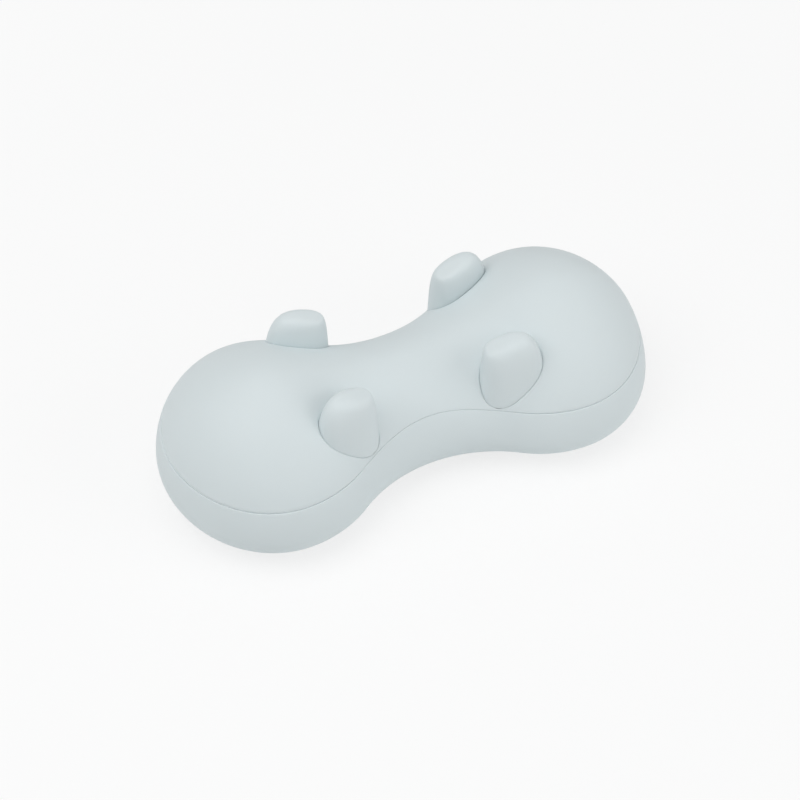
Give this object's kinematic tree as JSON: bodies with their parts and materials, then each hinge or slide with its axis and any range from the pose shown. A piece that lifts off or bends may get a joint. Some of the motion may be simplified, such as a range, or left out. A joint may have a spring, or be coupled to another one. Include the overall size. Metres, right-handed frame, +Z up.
{
  "type": "bath pillow",
  "caption": "Peanut-shaped moulded bath pillow with a narrow waist for the neck, domed lobes, upright massage nubs round the waist and suction cups under the lobes.",
  "frame": {"origin": "on the surface that the suction cups rest on, under the middle of the pillow", "axes": "+X along the pillow, +Y towards its rear side, +Z up through the crown"},
  "size_m": [0.28, 0.13, 0.0862],
  "materials": {
    "moulded_skin": "smooth matte moulded skin",
    "nub_elastomer": "smooth satin moulded elastomer",
    "core_foam": "open-cell foam",
    "socket_plastic": "milky moulded polypropylene",
    "cup_vinyl": "clear soft vinyl"
  },
  "bodies": {
    "pillow": {"upper_skin": "moulded_skin", "lower_skin": "moulded_skin", "foam_core": "core_foam", "cup_socket_front_left": "socket_plastic", "cup_socket_front_right": "socket_plastic", "cup_socket_rear_left": "socket_plastic", "cup_socket_rear_right": "socket_plastic"},
    "nub_front_left": {"massage_nub_front_left": "nub_elastomer"},
    "nub_front_right": {"massage_nub_front_right": "nub_elastomer"},
    "nub_rear_left": {"massage_nub_rear_left": "nub_elastomer"},
    "nub_rear_right": {"massage_nub_rear_right": "nub_elastomer"},
    "cup_front_left": {"suction_cup_front_left": "cup_vinyl"},
    "cup_front_right": {"suction_cup_front_right": "cup_vinyl"},
    "cup_rear_left": {"suction_cup_rear_left": "cup_vinyl"},
    "cup_rear_right": {"suction_cup_rear_right": "cup_vinyl"}
  },
  "joints": [
    {"name": "nub_press_front_left", "type": "slide", "parent": "pillow", "child": "nub_front_left", "axis": [0, 0, 1], "range_m": [-0.0015, 0], "stiffness_N_per_m": 2500},
    {"name": "nub_press_front_right", "type": "slide", "parent": "pillow", "child": "nub_front_right", "axis": [0, 0, 1], "range_m": [-0.0015, 0], "stiffness_N_per_m": 2500},
    {"name": "nub_press_rear_left", "type": "slide", "parent": "pillow", "child": "nub_rear_left", "axis": [0, 0, 1], "range_m": [-0.0015, 0], "stiffness_N_per_m": 2500},
    {"name": "nub_press_rear_right", "type": "slide", "parent": "pillow", "child": "nub_rear_right", "axis": [0, 0, 1], "range_m": [-0.0015, 0], "stiffness_N_per_m": 2500},
    {"name": "cup_swivel_front_left", "type": "hinge", "parent": "pillow", "child": "cup_front_left", "pos_m": [-0.083, -0.021, 0.009], "axis": [0, 0, 1], "continuous": true},
    {"name": "cup_swivel_front_right", "type": "hinge", "parent": "pillow", "child": "cup_front_right", "pos_m": [0.083, -0.021, 0.009], "axis": [0, 0, 1], "continuous": true},
    {"name": "cup_swivel_rear_left", "type": "hinge", "parent": "pillow", "child": "cup_rear_left", "pos_m": [-0.083, 0.021, 0.009], "axis": [0, 0, 1], "continuous": true},
    {"name": "cup_swivel_rear_right", "type": "hinge", "parent": "pillow", "child": "cup_rear_right", "pos_m": [0.083, 0.021, 0.009], "axis": [0, 0, 1], "continuous": true}
  ]
}
